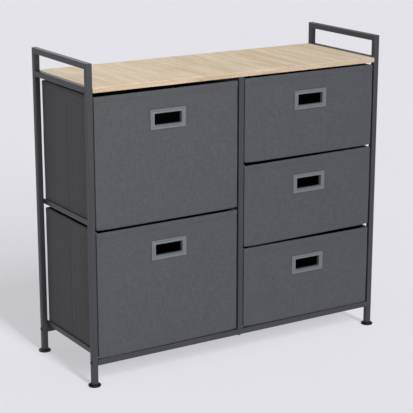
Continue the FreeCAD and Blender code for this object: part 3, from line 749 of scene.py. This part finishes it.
def stand(drawer, place, outward, z):
    """How far the cover stands out there from the flat box."""
    upright = (z - drawer.middle.z) / (drawer.high.z - drawer.middle.z)
    bulge = 1 - min(1.0, abs(upright)) ** CROWN_POWER
    spot = Vector((place.x, place.y, z)) + drawer.seed
    wave = noise.noise(spot / RIPPLE_LENGTH) * RIPPLE
    wave += FINE_RIPPLE * noise.noise(spot / (FINE_RIPPLE * RIPPLE_LENGTH)) * RIPPLE
    if outward.y < -FLAT_FRONT:
        crown = FRONT_CROWN * bulge * (1 - abs(drawer.across(place.x)) ** CROWN_POWER)
        wave = (crown + wave) * held(drawer, place.x, z)
    else:
        along = abs((place.y - drawer.fold) / (drawer.high.y - drawer.fold)) * abs(outward.x)
        wave += SIDE_CROWN * bulge * (1 - min(1.0, along) ** SIDE_POWER)
        for number, depth in enumerate(FOLD_DEPTHS):
            beside = place.y - drawer.fold + number * FOLD_GAP
            wave -= depth * math.exp(-(beside / FOLD_WIDTH) ** 2) * abs(outward.x)
    wave += BACK_STAND * ease(1 - (drawer.high.y - place.y) / BACK_LAP)
    below_rim = drawer.high.z - z
    hem = HEM_STAND * ease((HEM_HEIGHT - below_rim) / HEM_STEP + 0.5)
    near_hem = math.exp(-((below_rim - HEM_HEIGHT) / PUCKER_REACH) ** 2)
    pucker = PUCKER * near_hem * noise.noise(spot / PUCKER_LENGTH)
    return wave + hem + pucker


def on_cover(drawer, place, outward, z):
    """The point of the cover's outer face at that place in plan and height."""
    out = stand(drawer, place, outward, z)
    return Vector((place.x + outward.x * out, place.y + outward.y * out,
                   z + drawer.rise(place, outward, z)))


def floor_of(drawer):
    """Height of the cover's floor."""
    return drawer.lining_low.z - COVER_THICKNESS


def lower_edge(drawer, place, outward):
    """Height of the cover's lower edge, which hangs below the floor at the front only."""
    hanging = drawer.low.z + CORNER_LIFT * abs(drawer.across(place.x)) ** CORNER_LIFT_POWER
    return floor_of(drawer) + (hanging - floor_of(drawer)) * of_front(outward)


def without_hole(points, faces, drawer, front_y):
    """The skin without what lies in the opening of the front, at front_y or just behind."""
    left, right, bottom, top = drawer.hole()
    kept = []
    for face in faces:
        middle = sum((points[corner] for corner in face), Vector()) / len(face)
        inside = left < middle.x < right and bottom < middle.z < top
        if not (inside and abs(middle.y - front_y) < FRONT_WALL / 2):
            kept.append(face)
    used = sorted({corner for face in kept for corner in face})
    numbers = {corner: number for number, corner in enumerate(used)}
    kept_points = [points[corner] for corner in used]
    return kept_points, [tuple(numbers[corner] for corner in face) for face in kept]


def rings_of(outline, point_on, rows):
    """One ring round the outline for each row of what point_on needs after a place and outward."""
    return [[point_on(place, outward, *row) for place, outward in outline] for row in rows]


def cover_skin(drawer):
    """Outer face of the cover: floor, walls, over the rim and down the turned-in flap."""
    left, right, bottom, top = drawer.hole()
    fold_stops = [drawer.fold - number * FOLD_GAP + FOLD_WIDTH * stop
                  for number in range(len(FOLD_DEPTHS)) for stop in FOLD_STOPS]
    corner_stops = [drawer.low.y + FRONT_WALL, drawer.walls_start]
    outline = plan(drawer.low, drawer.high, CORNER_RADIUS, (left, right), corner_stops + fold_stops)
    centre = Vector((drawer.middle.x, drawer.middle.y))
    floor = floor_of(drawer)

    def inset(place, outward, share):
        """The place moved in by that share of the wall's thickness there."""
        deep = FRONT_WALL if outward.y < 0 else SIDE_WALL
        return Vector((place.x - outward.x * SIDE_WALL * share, place.y - outward.y * deep * share))

    def on_floor(place, outward, share):
        spot = centre + (inset(place, outward, 1.0) - centre) * share
        return Vector((spot.x, spot.y, floor - FLOOR_SAG * (1 - share ** FLOOR_SAG_POWER)))

    def under_edge(place, outward, share, drop):
        edge = lower_edge(drawer, place, outward)
        edge += drawer.rise(place, outward, edge) * of_front(outward)
        spot = inset(place, outward, share)
        return Vector((spot.x, spot.y, floor + drop * (edge - floor)))

    def above_edge(place, outward):
        return on_wall(place, outward, lower_edge(drawer, place, outward) + LOWER_EDGE_ROUND)

    def on_wall(place, outward, z):
        return on_cover(drawer, place, outward, z)

    def on_rim(place, outward, inward, up):
        spot = place - outward * (inward * RIM_RADIUS - HEM_STAND)
        rim = drawer.high.z + drawer.rise(place, outward, drawer.high.z)
        return Vector((spot.x, spot.y, rim + (up - 1) * RIM_RADIUS))

    def on_flap(place, outward, inward, up):
        spot = inset(place, outward, 1.0) - outward * (FLAP_LAP - inward * RIM_RADIUS)
        rim = drawer.high.z + drawer.rise(place, outward, drawer.high.z)
        drop = (1 - up) * RIM_RADIUS if up >= 0 else RIM_RADIUS - up * HEM_HEIGHT
        return Vector((spot.x, spot.y, rim - drop))

    hem_marks = [drawer.high.z - HEM_HEIGHT + part * HEM_STEP for part in (-0.5, 0.0, 0.5)]
    heights = marks(floor + CELL / 2, drawer.high.z - RIM_RADIUS, (bottom, top, *hem_marks))
    turned = [(1 - math.cos(turn), math.sin(turn)) for turn in RIM_TURNS]
    points, faces = loft([
        *rings_of(outline, on_floor, [(share,) for share in FLOOR_SHARES]),
        *rings_of(outline, under_edge, LOWER_EDGE_RINGS),
        *rings_of(outline, above_edge, [()]),
        *rings_of(outline, on_wall, [(z,) for z in heights]),
        *rings_of(outline, on_rim, turned),
        *rings_of(outline, on_flap, [*reversed(turned), *FLAP_RINGS]),
    ], close_start=True)
    return without_hole(points, faces, drawer, drawer.low.y)


for drawer in DRAWERS:
    made = piece(f"{drawer.name}_fabric_cover", cover_skin(drawer), woven_polyester, drawer.body,
                 [f"{drawer.name}_cover"])
    modify(made, "SOLIDIFY", thickness=COVER_THICKNESS - SKIN_GAP, offset=-1.0)

# ---------------------------------------------------------------------------------------------
# Linings: black spunbonded polypropylene, hung inside the boards and caught under the turned-in
# rim of the cover. The loose floor board presses it into the corners.
# ---------------------------------------------------------------------------------------------

# Spunbond: matt fibre felt, welded by rows of dimples. The real ones are about 1.5 mm apart;
# they are drawn 2 mm apart, so that they show.
BOND_GAP = 2 * MM
BOND_DEPTH = 0.12 * MM
FELT_FIBRE = 3 * MM
spunbond, tree, place = new_material("black_spunbonded_polypropylene")
bonds = crossed_rows(tree, place, BOND_GAP, "COSINE")
fibres = add(tree, "TexNoise", {"Vector": place, "Scale": 1 / FELT_FIBRE, "Detail": 4.0})
dimple = add(tree, "MapRange", {"Value": bonds, "From Min": 1.2, "From Max": 1.9,
                                "To Min": 1.0, "To Max": 0.0})
felt = add(tree, "Bump", {"Height": dimple, "Strength": 0.6, "Distance": BOND_DEPTH})
web = add(tree, "Mix", {0: fibres, 6: linear("#121214"), 7: linear("#1E1E21")}, data_type="RGBA")
shader = add(tree, "BsdfPrincipled", {
    "Base Color": web,
    "Roughness": 0.9,
    "Normal": felt,
    "Specular IOR Level": 0.3,
})
add(tree, "OutputMaterial", {"Surface": shader})

LINING_THICKNESS = 0.8 * MM
LINING_RIPPLE = 0.45 * MM
LINING_RIPPLE_LENGTH = RIPPLE_LENGTH / 1.8
LINING_CORNER = 3 * MM
LINING_CORNER_RINGS = ((0.3, 0.4), (0.5, 0.0))
LINING_FLOOR_SHARES = (0.8, 0.5, 0.2)


def lining_skin(drawer):
    """Inner face of the lining, facing into the drawer: down the walls and over the floor."""
    left, right, bottom, top = drawer.hole()
    low, high = drawer.lining_low, drawer.lining_high
    outline = plan(low, high, LINING_CORNER, (left, right), ())
    centre = Vector(((low.x + high.x) / 2, (low.y + high.y) / 2))
    floor = low.z + LINING_THICKNESS

    def on_wall(place, outward, z):
        spot = Vector((place.x, place.y, z)) + drawer.seed
        rough = LINING_RIPPLE * (1 + noise.noise(spot / LINING_RIPPLE_LENGTH)) / 2
        inner = place - outward * (LINING_THICKNESS + rough * held(drawer, place.x, z))
        return Vector((inner.x, inner.y, z + drawer.rise(place, outward, z)))

    def in_corner(place, outward, inward, up):
        inner = place - outward * (LINING_THICKNESS + inward * LINING_CORNER)
        return Vector((inner.x, inner.y, floor + up * LINING_CORNER))

    def on_floor(place, _, share):
        spot = centre + (place - centre) * share
        return Vector((spot.x, spot.y, floor))

    heights = marks(floor + LINING_CORNER, high.z, (bottom, top))
    points, faces = loft([
        *rings_of(outline, on_wall, [(z,) for z in reversed(heights)]),
        *rings_of(outline, in_corner, LINING_CORNER_RINGS),
        *rings_of(outline, on_floor, [(share,) for share in LINING_FLOOR_SHARES]),
    ], close_end=True)
    return without_hole(points, faces, drawer, low.y + LINING_THICKNESS)


for drawer in DRAWERS:
    made = piece(f"{drawer.name}_fabric_lining", lining_skin(drawer), spunbond, drawer.body,
                 [f"{drawer.name}_lining"])
    modify(made, "SOLIDIFY", thickness=LINING_THICKNESS - SKIN_GAP, offset=-1.0)

# ---------------------------------------------------------------------------------------------
# Stitching: twisted polyester thread a shade lighter than the fabric, lockstitched round the hem,
# down both sides of each front's board pocket and along its foot.
# ---------------------------------------------------------------------------------------------

# Spun thread: matt, with the slight sheen of twisted filaments.
THREAD_TWIST = 0.5 * MM
PLY_DEPTH = 0.06 * MM
thread, tree, place = new_material("polyester_sewing_thread")
twist = add(tree, "TexNoise", {"Vector": place, "Scale": 1 / THREAD_TWIST, "Detail": 1.0})
ply = add(tree, "Bump", {"Height": twist, "Strength": 0.4, "Distance": PLY_DEPTH})
dyed = add(tree, "Mix", {0: twist, 6: linear("#414245"), 7: linear("#515255")}, data_type="RGBA")
shader = add(tree, "BsdfPrincipled", {
    "Base Color": dyed,
    "Roughness": 0.6,
    "Normal": ply,
})
add(tree, "OutputMaterial", {"Surface": shader})

STITCH_PITCH = 4.2 * MM
STITCH_LENGTH = 3.1 * MM
STITCH_RADIUS = 0.32 * MM
STITCH_POINTS = 5
SEAM_INSET = 6 * MM
HEM_SEAM = 2 * MM

# Along a stitch: how far on, how thick, and how far out from the fabric, in thread radii.
STITCH_SHAPE = ((0.0, 0.5, -0.9), (0.12, 0.9, 0.0), (0.5, 1.0, 0.5), (0.88, 0.9, 0.0),
                (1.0, 0.5, -0.9))


def stitch(start, end, outward):
    """One stitch: a short thread that dips into the fabric at both ends."""
    along = (end - start).normalized()
    sideways = outward.cross(along)
    rings = []
    for share, width, rise in STITCH_SHAPE:
        centre = start.lerp(end, share) + outward * rise * STITCH_RADIUS
        ring = []
        for number in range(STITCH_POINTS):
            turn = 2 * math.pi * number / STITCH_POINTS
            ring.append(centre + width * STITCH_RADIUS
                        * (math.cos(turn) * sideways + math.sin(turn) * outward))
        rings.append(ring)
    return loft(rings, close_start=True, close_end=True)


def seam_runs(drawer):
    """The seams of one cover, each a list of (place in plan, outward direction, height)."""
    radius = CORNER_RADIUS
    low, high = drawer.low, drawer.high
    hem = high.z - HEM_HEIGHT + HEM_SEAM
    walls = [
        ((low.x + radius, low.y), (high.x - radius, low.y), (0, -1)),
        ((high.x, low.y + radius), (high.x, high.y - radius), (1, 0)),
        ((high.x - radius, high.y), (low.x + radius, high.y), (0, 1)),
        ((low.x, high.y - radius), (low.x, low.y + radius), (-1, 0)),
    ]
    runs = []
    for first, last, outward in walls:
        start, end = Vector(first), Vector(last)
        count = round((end - start).length / STITCH_PITCH)
        runs.append([(start.lerp(end, number / count), Vector(outward), hem)
                     for number in range(count + 1)])
    front = Vector((0, -1))
    left, right = low.x + SEAM_INSET, high.x - SEAM_INSET
    foot = low.z + SEAM_INSET + CORNER_LIFT / 2
    count = round((hem - foot) / STITCH_PITCH)
    for x in (left, right):
        runs.append([(Vector((x, low.y)), front, foot + (hem - foot) * number / count)
                     for number in range(count)])
    count = round((right - left) / STITCH_PITCH)
    runs.append([(Vector((left + (right - left) * number / count, low.y)), front, foot)
                 for number in range(count + 1)])
    return runs


gap = (1 - STITCH_LENGTH / STITCH_PITCH) / 2
for drawer in DRAWERS:
    stitches = []
    for run in seam_runs(drawer):
        for here, there in zip(run, run[1:]):
            start = on_cover(drawer, *here)
            end = on_cover(drawer, *there)
            outward = here[1].to_3d()
            stitches.append(stitch(start.lerp(end, gap), start.lerp(end, 1 - gap), outward))
    piece(f"{drawer.name}_stitching", joined(stitches), thread, drawer.body)

# ---------------------------------------------------------------------------------------------
# Finger pulls: one grey ABS moulding each. A flat flange lies on the fabric, a collar passes
# through cover, board and lining, and four catches snap behind them.
# ---------------------------------------------------------------------------------------------

# ABS moulded in a spark-eroded tool: even grey, satin, with a very fine stipple.
STIPPLE_DEPTH = 0.04 * MM
ABS_FLOW = 22 * MM
grey_abs, tree, place = new_material("moulded_grey_abs")
grain = add(tree, "TexNoise", {"Vector": place, "Scale": 1 / MOULD_GRAIN, "Detail": 2.0})
flow = add(tree, "TexNoise", {"Vector": place, "Scale": 1 / ABS_FLOW, "Detail": 2.0})
stipple = add(tree, "Bump", {"Height": grain, "Strength": 0.2, "Distance": STIPPLE_DEPTH})
resin = add(tree, "Mix", {0: flow, 6: linear("#525657"), 7: linear("#5A5E5F")}, data_type="RGBA")
shader = add(tree, "BsdfPrincipled", {
    "Base Color": resin,
    "Roughness": 0.42,
    "Normal": stipple,
    "IOR": 1.53,
})
add(tree, "OutputMaterial", {"Surface": shader})

PULL_THICKNESS = 2 * MM
PULL_CORNER = 1.2 * MM
PULL_EDGE = 0.9 * MM
OUTER_ROUND = ((0.0, 1.0), (0.13, 0.5), (0.5, 0.13), (1.0, 0.0))
INNER_ROUND = ((1.0, 0.0), (0.3, 0.3), (0.0, 1.0))
COLLAR_EDGE = 0.3 * MM
GROOVE_PLACE = 5.6 * MM
GROOVE_WIDTH = 2.6 * MM
GROOVE_DEPTH = 1.3 * MM
SLOT_CORNER = 2 * MM
SLOT_LIP = 0.35 * MM
SLOT_LIP_WIDTH = 1.8 * MM
EVEN_REACH = 2.5 * MM
CATCH_REACH = 2.2 * MM
CATCH_DEPTH = 3 * MM
CATCH_WIDTH = 9 * MM
CATCH_OFFSET = 24 * MM


def pull_skin(drawer):
    """The flange with its groove, the lip and the collar, as one closed skin round the slot.

    Up to the even reach its rings keep one distance from the slot all round. Beyond it they
    widen to the flange's own shape.
    """
    centre = (drawer.pull_low + drawer.pull_high) / 2
    back = drawer.low.y - SKIN_GAP
    front = drawer.low.y - PULL_THICKNESS
    end = drawer.pull_high.y
    wide = (drawer.pull_high.x - drawer.pull_low.x) / 2
    high = (drawer.pull_high.z - drawer.pull_low.z) / 2
    slot_wide, slot_high = SLOT_WIDTH / 2, SLOT_HEIGHT / 2
    flange = wide - slot_wide
    profile = [
        (flange, back),
        *((flange - across * PULL_EDGE, front + deep * PULL_EDGE) for across, deep in OUTER_ROUND),
        (GROOVE_PLACE + GROOVE_WIDTH / 2, front),
        (GROOVE_PLACE + GROOVE_WIDTH / 4, front + GROOVE_DEPTH),
        (GROOVE_PLACE - GROOVE_WIDTH / 4, front + GROOVE_DEPTH),
        (GROOVE_PLACE - GROOVE_WIDTH / 2, front),
        (SLOT_LIP_WIDTH + SLOT_LIP, front),
        (SLOT_LIP_WIDTH, front - SLOT_LIP),
        *((across * PULL_EDGE, front - SLOT_LIP + deep * PULL_EDGE)
          for across, deep in INNER_ROUND),
        (0.0, end - COLLAR_EDGE),
        (COLLAR_EDGE, end),
        (COLLAR_WALL - COLLAR_EDGE, end),
        (COLLAR_WALL, end - COLLAR_EDGE),
        (COLLAR_WALL, back),
    ]
    shape = flange / (high - slot_high)
    rings = []
    for reach, y in profile:
        upright_reach = reach / shape if reach > EVEN_REACH else reach
        radius = SLOT_CORNER + (PULL_CORNER - SLOT_CORNER) * reach / flange
        rings.append(rounded_ring(centre, slot_wide + reach, slot_high + upright_reach, radius, y))
    return loft(rings, loop=True)


def catch_skin(drawer, x, sign):
    """One catch at x from the slot's middle: a wedge on the collar, steep towards the lining."""
    centre = (drawer.pull_low + drawer.pull_high) / 2
    tip_y = drawer.pull_high.y
    root_y = tip_y - CATCH_DEPTH
    root = (SLOT_HEIGHT + COLLAR_WALL) / 2
    skin = SLOT_HEIGHT / 2 + COLLAR_WALL
    section = [(root_y, root), (root_y, skin + CATCH_REACH - COLLAR_EDGE),
               (root_y + COLLAR_EDGE, skin + CATCH_REACH), (tip_y, skin), (tip_y, root)]
    rings = [
        [Vector((centre.x + x + half * CATCH_WIDTH / 2, y, centre.z + sign * z)) for y, z in section]
        for half in (-1, 1)
    ]
    points, faces = loft(rings, close_start=True, close_end=True)
    return points, faces if sign < 0 else [tuple(reversed(face)) for face in faces]


for drawer in DRAWERS:
    parts = [pull_skin(drawer)]
    for x in (-CATCH_OFFSET, CATCH_OFFSET):
        for sign in (-1, 1):
            parts.append(catch_skin(drawer, x, sign))
    made = piece(f"{drawer.name}_moulded_pull", joined(parts), grey_abs, drawer.body,
                 [f"{drawer.name}_finger_pull"])
    modify(made, "WEIGHTED_NORMAL", keep_sharp=True)

# ---------------------------------------------------------------------------------------------
# Studio: a light table in a pale room. A tall strip of light in front throws the shadow straight
# back. A soft panel near the front left falls off across the fronts, and one high behind lights
# the back. The camera stands at the front left and looks a little down.
# ---------------------------------------------------------------------------------------------

# Matt white acrylic lit evenly from below, which keeps the shadows on it pale.
TABLE_REACH = 40.0
TABLE_CLOUD = 1.25
TABLE_GLOW = 0.63
PAPER_WHITE = "#E3E2E8"
pale_floor, tree, place = new_material("white_acrylic_light_table")
cloud = add(tree, "TexNoise", {"Vector": place, "Scale": 1 / TABLE_CLOUD, "Detail": 1.0})
sheet = add(tree, "Mix", {0: cloud, 6: linear("#A3A19F"), 7: linear("#A5A3A1")}, data_type="RGBA")
shader = add(tree, "BsdfPrincipled", {
    "Base Color": sheet,
    "Roughness": 1.0,
    "Specular IOR Level": 0.0,
    "Emission Color": linear(PAPER_WHITE),
    "Emission Strength": TABLE_GLOW,
})
add(tree, "OutputMaterial", {"Surface": shader})
floor_mesh = bpy.data.meshes.new("studio_floor")
floor_mesh.from_pydata([(x, y, 0.0) for x, y in ((-1, -1), (1, -1), (1, 1), (-1, 1))], [],
                       [(0, 1, 2, 3)])
floor_mesh.transform(Matrix.Scale(TABLE_REACH, 4))
floor_mesh.materials.append(pale_floor)
studio_floor = bpy.data.objects.new("studio_floor", floor_mesh)
bpy.context.scene.collection.objects.link(studio_floor)

# A pale wall all round, lit from its foot and dimmer overhead.
WALL_TOP = 0.13
CEILING_FOOT = 0.45
CEILING_SHARE = 0.25
world = bpy.data.worlds.new("pale_studio_wall")
world.use_nodes = True
tree = world.node_tree
tree.nodes.clear()
direction = add(tree, "SeparateXYZ", {0: add(tree, "TexCoord").outputs["Generated"]})
fall = add(tree, "MapRange", {"Value": direction.outputs["Z"], "From Min": WALL_TOP,
                              "From Max": CEILING_FOOT, "To Min": 1.0, "To Max": CEILING_SHARE})
sky = add(tree, "Background", {"Color": linear(PAPER_WHITE), "Strength": fall})
add(tree, "OutputWorld", {"Surface": sky})
bpy.context.scene.world = world

# The key is a tall narrow strip, built of suns one above the other, each as wide as the step
# between them. It fades a shadow with its distance behind the dresser, not sideways.
KEY_ELEVATIONS = [math.radians(degrees) for degrees in (19, 27, 35, 43, 51)]
KEY_STRENGTH = 3.16
KEY_SPREAD = math.radians(8)
KEY_COLOUR = (0.94, 0.97, 1.08)
for number, elevation in enumerate(KEY_ELEVATIONS):
    key = bpy.data.lights.new(f"key_light_{number}", "SUN")
    key.energy = KEY_STRENGTH / len(KEY_ELEVATIONS)
    key.angle = KEY_SPREAD
    key.color = KEY_COLOUR
    key_object = bpy.data.objects.new(key.name, key)
    key_object.rotation_euler = (math.pi / 2 - elevation, 0, 0)
    bpy.context.scene.collection.objects.link(key_object)

# The panels are flagged off the table, so that the table stays even.
flagged = bpy.data.collections.new("flagged_from_panels")
flagged.objects.link(studio_floor)
flagged.collection_objects[0].light_linking.link_state = "EXCLUDE"


def soft_panel(name, place, aim, side, power, colour):
    """A square soft light that the camera doesn't see, turned to its aim."""
    light = bpy.data.lights.new(name, "AREA")
    light.energy = power
    light.size = side
    light.color = colour
    made = bpy.data.objects.new(name, light)
    made.location = place
    made.rotation_euler = (Vector(aim) - Vector(place)).to_track_quat("-Z", "Y").to_euler()
    made.visible_camera = False
    made.light_linking.receiver_collection = flagged
    bpy.context.scene.collection.objects.link(made)


soft_panel("front_panel", place=(-0.75, -1.15, 1.1), aim=(-0.25, -0.15, 0.5), side=0.6, power=9.0,
           colour=(1.04, 1.0, 0.94))
soft_panel("rear_panel", place=(0.1, 2.1, 2.3), aim=(0.0, 0.15, 0.45), side=1.2, power=24.0,
           colour=(0.98, 0.99, 1.03))

CAMERA_PLACE = Vector((-1929, -3081, 1361)) * MM
CAMERA_YAW = math.radians(31.90)
CAMERA_PITCH = math.radians(15.28)
SENSOR_WIDTH = 36.0
LENS = 123.6
camera = bpy.data.cameras.new("camera")
camera.sensor_width = SENSOR_WIDTH
camera.lens = LENS
camera.clip_end = 4 * TABLE_REACH
camera_object = bpy.data.objects.new("camera", camera)
camera_object.location = CAMERA_PLACE
camera_object.rotation_euler = (math.pi / 2 - CAMERA_PITCH, 0, -CAMERA_YAW)
bpy.context.scene.collection.objects.link(camera_object)
bpy.context.scene.camera = camera_object
bpy.context.scene.view_settings.view_transform = "Standard"
